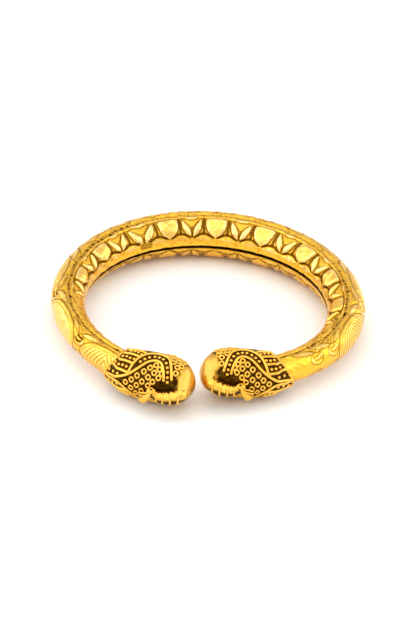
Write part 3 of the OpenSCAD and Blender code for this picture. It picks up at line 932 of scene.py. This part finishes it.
# %% [markdown]
# ## Grains and ring scales
# A grain of granulation is a small ball, a scale is a ring with its dark centre
# left open. Each is modelled once, as a low ball and as a torus pulled towards a
# lozenge, and copied to its places with its base turned to the body.

# %% A grain and a ring
GRAIN_R, RING_R, RING_WIRE_R = 0.00041, 0.00047, 0.00023  # metres
POINTED = 1.35  # 2 would leave the ring round, 1 would make it a lozenge

bpy.ops.object.select_all(action="DESELECT")
bpy.ops.mesh.primitive_ico_sphere_add(subdivisions=2, radius=GRAIN_R)
grain = bpy.context.object
grain.data.transform(Matrix.Diagonal((1, 1, 0.85, 1)))
bpy.ops.object.shade_smooth()

bpy.ops.mesh.primitive_torus_add(major_segments=16, minor_segments=7,
                                 major_radius=RING_R, minor_radius=RING_WIRE_R)
ring = bpy.context.object
for vertex in ring.data.vertices:
    x, y = vertex.co.x, vertex.co.y
    way = math.atan2(y, x)
    pull = (abs(math.cos(way)) ** POINTED + abs(math.sin(way)) ** POINTED) ** (-1 / POINTED)
    vertex.co.x, vertex.co.y = x * (0.6 + 0.5 * pull), y * (0.66 + 0.55 * pull)
bpy.ops.object.shade_smooth()
print("a grain of", len(grain.data.polygons), "faces, a ring of", len(ring.data.polygons))

# %% Grains and scales
WING_BEADS = [(5.9, 63), (6.7, 72), (7.6, 79.5), (8.7, 85.5), (9.75, 86), (10.8, 82.5),
              (11.75, 73), (12.35, 61.5), (12.7, 50.5), (12.95, 38.5), (13.15, 27.5)]
STRIPE_BEADS = [(-1.5, 14), (-0.2, 18.5), (1.1, 21.5), (-0.2, 46), (0.95, 48.5), (1.95, 48),
                (2.95, 45), (1.3, 76), (2.3, 75), (3.25, 70), (4.25, 68), (2.6, 101),
                (3.6, 98), (4.55, 93), (5.5, 86)]
SCALES = [(3.35, 5), (4.75, 16), (5.95, 28.5), (7.35, 41), (8.55, 52.5), (9.7, 61.5), (6.1, 5),
          (7.3, 17), (8.55, 30), (9.75, 42.5), (10.75, 53), (8.8, 10.5), (9.75, 21.5),
          (10.95, 33), (11.5, 44)]
DOME_RINGS = [(11.3, 105), (12.15, 93), (13.2, 102), (13.2, 81.5), (14.15, 89.5), (15.15, 96),
              (14.3, 105), (12.5, 111), (14.45, 71), (15.25, 80.5), (14.5, 54), (15.5, 107)]

def turned_to(n):
    side = Vector((0, 0, 1)).cross(n).normalized()
    return Matrix((side, n.cross(side), n)).transposed().to_4x4()

def copies(model, cap, spots, h):
    """Copies of a small model at (s, v) spots on a cap, h above its body."""
    made = []
    for s, v in spots:
        point, n = cap.place(s + cap.shift, v, h), Vector(cap.normal(s + cap.shift, v))
        piece = bpy.data.objects.new(model.name, model.data.copy())
        piece.data.transform(Matrix.Translation((point + HOOP_AT) / 1000) @ turned_to(n))
        bpy.context.collection.objects.link(piece)
        made.append(piece)
    return made

beads = WING_BEADS + STRIPE_BEADS
beads = beads + [(s, 2 * float(mirror_at(s)) - v) for s, v in beads]
rings = SCALES + DOME_RINGS
rings = rings + [(s, 10 - v) for s, v in rings if v > 8 and not (s > 8 and v < 40)]
for cap in caps:
    for name, model, spots, h in (("_grains", grain, beads, 0.02), ("_scales", ring, rings, 0.05)):
        piece = joined(cap.name + name, copies(model, cap, spots, h))
        print(piece.name, len(spots), "copies")
for model in (grain, ring):
    bpy.data.objects.remove(model)

# %% [markdown]
# ## Neck, head and beak
# The neck bends back from the dome and is bound with thin collars. Between them
# it swells a little, like a cane, and its underside is painted dark brown, a
# painted shade. It ends in a small head with a ringed eye and a bill that widens
# to a blunt end over the cap's edge, with two crest wires beside it.

# %% Necks
# A collar: its place, its distance from the axis, its size and its lean.
COLLARS = [(11.4, -7.5, 6.56, 1.14, -0.05), (12.85, -6.7, 6.55, 1.33, -0.13),
           (14.4, -4.1, 6.43, 1.48, -0.3), (15.75, 0.8, 6.2, 1.5, -0.63)]
COLLAR_WIRE_R, NECK_WITHIN = 0.25, 0.12

def swept(cap, path, widths, heights, up, cols):
    """Oval rings round a path in the cap's own frame, and the way each point faces."""
    along_path = unit(np.gradient(path, axis=0))
    across = unit(np.cross(np.array(up), along_path))
    out = np.cross(along_path, across)
    w = np.linspace(2 * math.pi, 0, cols, endpoint=False)[None, :, None]
    ring = (across[:, None] * np.cos(w) * widths[:, None, None]
            + out[:, None] * np.sin(w) * heights[:, None, None])
    return cap.world(path[:, None] + ring), unit(ring)

def neck_rows():
    """Places and sizes along the neck: narrow at a collar, fuller between two."""
    rows = [(10.3, 0, 6.6, 0.9)]
    for k, (s, v, r, size, _) in enumerate(COLLARS):
        if k:
            s0, v0, r0, size0, _ = COLLARS[k - 1]
            fuller = (size + size0) / 2 + NECK_WITHIN
            rows.append(((s + s0) / 2, (v + v0) / 2, (r + r0) / 2, fuller))
        rows.append((s, v, r, size - NECK_WITHIN))
    return smooth_line(rows + [(16.6, 3, 5.3, 1.5), (17.1, 4, 4.2, 1.3)], n=7)

for cap in caps:
    rows = neck_rows()
    path = cap.over(*rows[:, :3].T)
    points, ways = swept(cap, path, rows[:, 3], rows[:, 3], (0.0, -0.52, 0.85), 28)
    # The neck's underside, where it faces down, is painted dark brown: painted shade.
    below = 0.95 * step(0.15, 0.6, -(ways @ np.array([0, -0.45, 0.9])))
    parts = [skin("neck", points, below)]
    for s, v, r, size, lean in COLLARS:
        across = unit(np.array([-lean, 1.0, 0]))
        w = rad(np.arange(0, 360, 10))[:, None]
        loop = cap.over(s, v, r) + size * (np.cos(w) * across + np.sin(w) * np.array([0, 0, 1.0]))
        parts.append(rod(cap.world(loop), COLLAR_WIRE_R, closed=True))
    piece = joined(cap.name + "_neck", parts)
    print(piece.name, len(piece.data.polygons), "faces")

# %% Heads
# The bill's rows hold its place, its distance from the axis, its width and height.
BILL = [(9.9, 0, 6.8, 0.45, 0.4), (9.5, -4, 7.2, 0.55, 0.42), (9.0, -9.5, 7.45, 0.66, 0.42),
        (8.45, -15, 7.5, 0.82, 0.4), (7.95, -20, 7.45, 0.95, 0.38), (7.75, -22, 7.4, 0.85, 0.3),
        (7.66, -22.8, 7.38, 0.5, 0.15)]
CREST = [[(9.0, -3.5, 6.5), (8.0, -7, 6.25), (6.9, -11.5, 5.95)],
         [(9.1, -7, 6.8), (8.1, -13, 6.4), (6.8, -20.5, 5.95)]]
CREST_R, EYE_RING_R = 0.26, 0.13

def ball(cap, centre, sizes, segments=24):
    """A ball drawn out along the cap's three directions."""
    bpy.ops.object.select_all(action="DESELECT")
    bpy.ops.mesh.primitive_uv_sphere_add(segments=segments, ring_count=segments // 2, radius=1)
    made = bpy.context.object
    shape = np.eye(4)
    shape[:3, :3] = cap.axes.T * np.array(sizes) / 1000
    shape[:3, 3] = (cap.world(centre) + HOOP_AT) / 1000
    made.data.transform(Matrix(shape.tolist()))
    if cap.side < 0:
        made.data.flip_normals()
    bpy.ops.object.shade_smooth()
    return made

for cap in caps:
    head = cap.over(9.95, 4.0, 6.55)
    parts = [ball(cap, head, (1.12, 0.82, 0.85)),
             ball(cap, head + [-0.55, 0.12, -0.1], (0.62, 0.75, 0.62))]
    rows = smooth_line(BILL, n=5)
    path = cap.over(*rows[:, :3].T)
    points, _ = swept(cap, path, rows[:, 3], rows[:, 4], (0.0, 0.93, -0.3), 24)
    parts.append(skin("bill", points, np.zeros(points.shape[:2])))
    for drawn in CREST:
        crest = cap.over(*smooth_line(drawn).T)
        parts.append(rod(cap.world(crest), CREST_R))
    facing = unit(np.array([0.1, 0.6, 0.8]))
    a = unit(np.cross(facing, [1.0, 0, 0]))
    b = np.cross(facing, a)
    w = rad(np.arange(0, 360, 15))[:, None]
    eye_at = head + [0.08, 0.47, 0.66]
    eye_ring = eye_at + 0.42 * np.cos(w) * b + 0.3 * np.sin(w) * a
    parts.append(rod(cap.world(eye_ring), EYE_RING_R, closed=True))
    piece = joined(cap.name + "_head", parts)
    pupil = ball(cap, eye_at - 0.02 * facing, (0.32, 0.2, 0.16), 12)
    pupil = joined(cap.name + "_eye", [pupil], black_oxide)
    print(piece.name, len(piece.data.polygons), "faces", pupil.name)

# %% [markdown]
# ## Plugs
# Each cap is pushed into the tube on a short plug with a bevelled end. It can be
# seen only through the seam, so a plain turned rod is enough.

# %% Plugs
for cap in caps:
    at = from_front(cap.side, JOINT)
    way = along(at, cap.side)
    places = np.array([middle(at) - 2.5 * way, middle(at) - 2.2 * way, middle(at) + 0.6 * way])
    plug = rod(places, np.array([1.75, 2.05, 2.05]))
    piece = joined(cap.name + "_plug", [plug], antique_gold)
    print(piece.name, len(piece.data.polygons), "faces")
